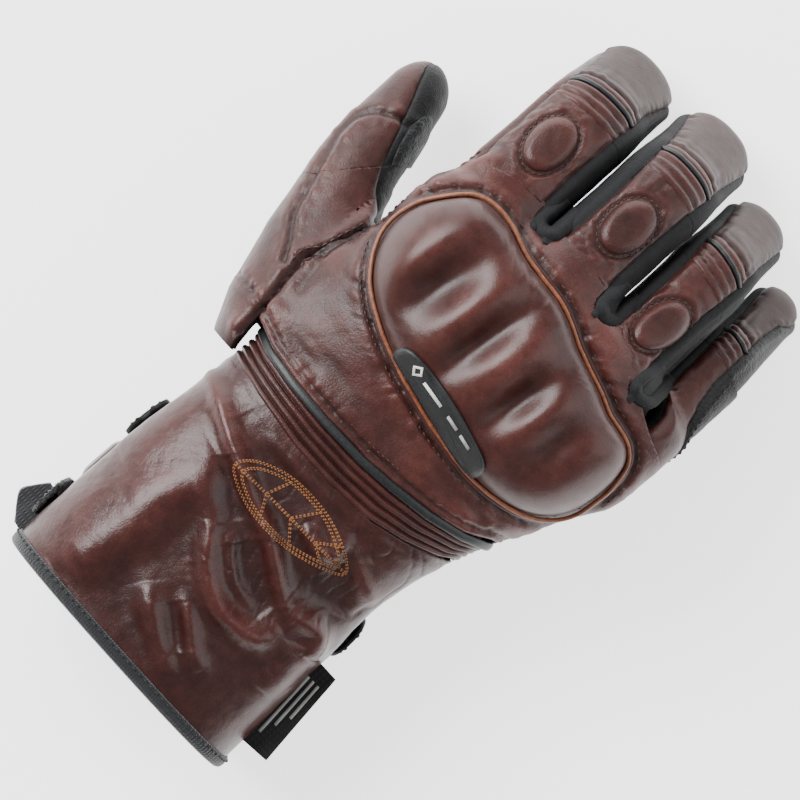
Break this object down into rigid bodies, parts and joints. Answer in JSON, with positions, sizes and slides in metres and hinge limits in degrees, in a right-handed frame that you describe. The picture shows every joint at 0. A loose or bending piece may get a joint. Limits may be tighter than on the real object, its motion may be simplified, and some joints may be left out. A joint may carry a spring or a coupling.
{
  "type": "motorcycle glove",
  "caption": "Long-cuff leather riding glove for the right hand: bent fingers with padded knuckles, a hard knuckle guard, pleated wrist and two closing straps.",
  "frame": {"origin": "on the ground below the middle of the glove's box, palm down", "axes": "+Y along the hand from the cuff to the fingertips, +X from the thumb towards the little finger, +Z out of the back of the hand"},
  "size_m": [0.1441, 0.2442, 0.0841],
  "materials": {
    "brown_leather": "waxed brown leather",
    "black_leather": "matt black leather",
    "grip_leather": "perforated black leather",
    "stretch_textile": "elastic ribbed textile",
    "lining_textile": "fleece and membrane lining",
    "guard_foam": "closed-cell foam and hard shell",
    "copper_piping": "metallic copper piping",
    "badge_rubber": "moulded rubber tab",
    "label_textile": "woven folded label",
    "binding": "bound textile edge",
    "grey_piping": "reflective grey piping",
    "hook_and_loop": "hook and loop tape"
  },
  "bodies": {
    "hand": {"hand_back_panel": "brown_leather", "hand_palm_panel": "brown_leather", "hand_lining": "lining_textile", "palm_patches": "grip_leather", "knuckle_guard_cover": "brown_leather", "knuckle_guard_foam": "guard_foam", "guard_piping": "copper_piping", "guard_badge": "badge_rubber", "thumb_saddle": "brown_leather", "wrist_accordion": "brown_leather", "wrist_gusset": "stretch_textile", "wrist_piping": "grey_piping"},
    "cuff": {"cuff_back_panel": "brown_leather", "cuff_under_panel": "brown_leather", "cuff_lining": "lining_textile", "hem_binding": "binding", "side_label": "label_textile", "cuff_loop_patches": "hook_and_loop", "strap_anchors": "black_leather"},
    "wrist_closure": {"wrist_strap": "black_leather", "wrist_strap_hooks": "hook_and_loop"},
    "hem_closure": {"hem_strap": "black_leather", "hem_strap_hooks": "hook_and_loop"},
    "thumb_base": {"thumb_back": "brown_leather", "thumb_inner": "black_leather"},
    "thumb_tip": {"thumb_tip_back": "brown_leather", "thumb_tip_inner": "black_leather", "thumb_grip_pad": "grip_leather"},
    "index_base": {"index_back": "brown_leather", "index_fourchettes": "black_leather", "index_palm": "brown_leather", "index_knuckle_pad": "brown_leather"},
    "index_tip": {"index_accordion": "brown_leather", "index_tip_back": "brown_leather", "index_tip_fourchettes": "black_leather", "index_tip_palm": "brown_leather"},
    "middle_base": {"middle_back": "brown_leather", "middle_fourchettes": "black_leather", "middle_palm": "brown_leather", "middle_knuckle_pad": "brown_leather"},
    "middle_tip": {"middle_accordion": "brown_leather", "middle_tip_back": "brown_leather", "middle_tip_fourchettes": "black_leather", "middle_tip_palm": "brown_leather"},
    "ring_base": {"ring_back": "brown_leather", "ring_fourchettes": "black_leather", "ring_palm": "brown_leather", "ring_knuckle_pad": "brown_leather"},
    "ring_tip": {"ring_accordion": "brown_leather", "ring_tip_back": "brown_leather", "ring_tip_fourchettes": "black_leather", "ring_tip_palm": "brown_leather"},
    "pinky_base": {"pinky_back": "brown_leather", "pinky_fourchettes": "black_leather", "pinky_palm": "brown_leather", "pinky_side_patch": "black_leather"},
    "pinky_tip": {"pinky_accordion": "brown_leather", "pinky_tip_back": "brown_leather", "pinky_tip_fourchettes": "black_leather", "pinky_tip_palm": "brown_leather"}
  },
  "joints": [
    {"name": "index_knuckle", "type": "hinge", "parent": "hand", "child": "index_base", "pos_m": [-0.01846, 0.04975, 0.05708], "axis": [-1, 0, 0], "range_deg": [-15, 40]},
    {"name": "index_middle_joint", "type": "hinge", "parent": "index_base", "child": "index_tip", "pos_m": [-0.01846, 0.09341, 0.04619], "axis": [-1, 0, 0], "range_deg": [-35, 30]},
    {"name": "middle_knuckle", "type": "hinge", "parent": "hand", "child": "middle_base", "pos_m": [0.01204, 0.05275, 0.05868], "axis": [-1, 0, 0], "range_deg": [-15, 40]},
    {"name": "middle_middle_joint", "type": "hinge", "parent": "middle_base", "child": "middle_tip", "pos_m": [0.01204, 0.0966, 0.04856], "axis": [-1, 0, 0], "range_deg": [-35, 30]},
    {"name": "ring_knuckle", "type": "hinge", "parent": "hand", "child": "ring_base", "pos_m": [0.03954, 0.04775, 0.05548], "axis": [-1, 0, 0], "range_deg": [-15, 40]},
    {"name": "ring_middle_joint", "type": "hinge", "parent": "ring_base", "child": "ring_tip", "pos_m": [0.03954, 0.09073, 0.04396], "axis": [-1, 0, 0], "range_deg": [-35, 30]},
    {"name": "pinky_knuckle", "type": "hinge", "parent": "hand", "child": "pinky_base", "pos_m": [0.06144, 0.03975, 0.04848], "axis": [-1, 0, 0], "range_deg": [-15, 34]},
    {"name": "pinky_middle_joint", "type": "hinge", "parent": "pinky_base", "child": "pinky_tip", "pos_m": [0.06144, 0.07473, 0.03643], "axis": [-1, 0, 0], "range_deg": [-35, 30]},
    {"name": "thumb_root", "type": "hinge", "parent": "hand", "child": "thumb_base", "pos_m": [-0.03936, -0.01025, 0.03898], "axis": [0, 0, 1], "range_deg": [-8, 15]},
    {"name": "thumb_joint", "type": "hinge", "parent": "thumb_base", "child": "thumb_tip", "pos_m": [-0.05572, 0.03279, 0.02833], "axis": [-0.8364, -0.3372, -0.4322], "range_deg": [-15, 32]},
    {"name": "wrist_bend", "type": "hinge", "parent": "hand", "child": "cuff", "pos_m": [0.00514, -0.02825, 0.04208], "axis": [1, 0, 0], "range_deg": [-25, 25], "deforming": ["wrist_accordion", "wrist_gusset"]},
    {"name": "wrist_strap_hinge", "type": "hinge", "parent": "cuff", "child": "wrist_closure", "pos_m": [-0.04112, -0.0628, 0.02453], "axis": [0, 1, 0], "range_deg": [0, 110]},
    {"name": "hem_strap_hinge", "type": "hinge", "parent": "cuff", "child": "hem_closure", "pos_m": [0.04343, -0.10035, 0.011], "axis": [0, -1, 0], "range_deg": [0, 110]}
  ]
}
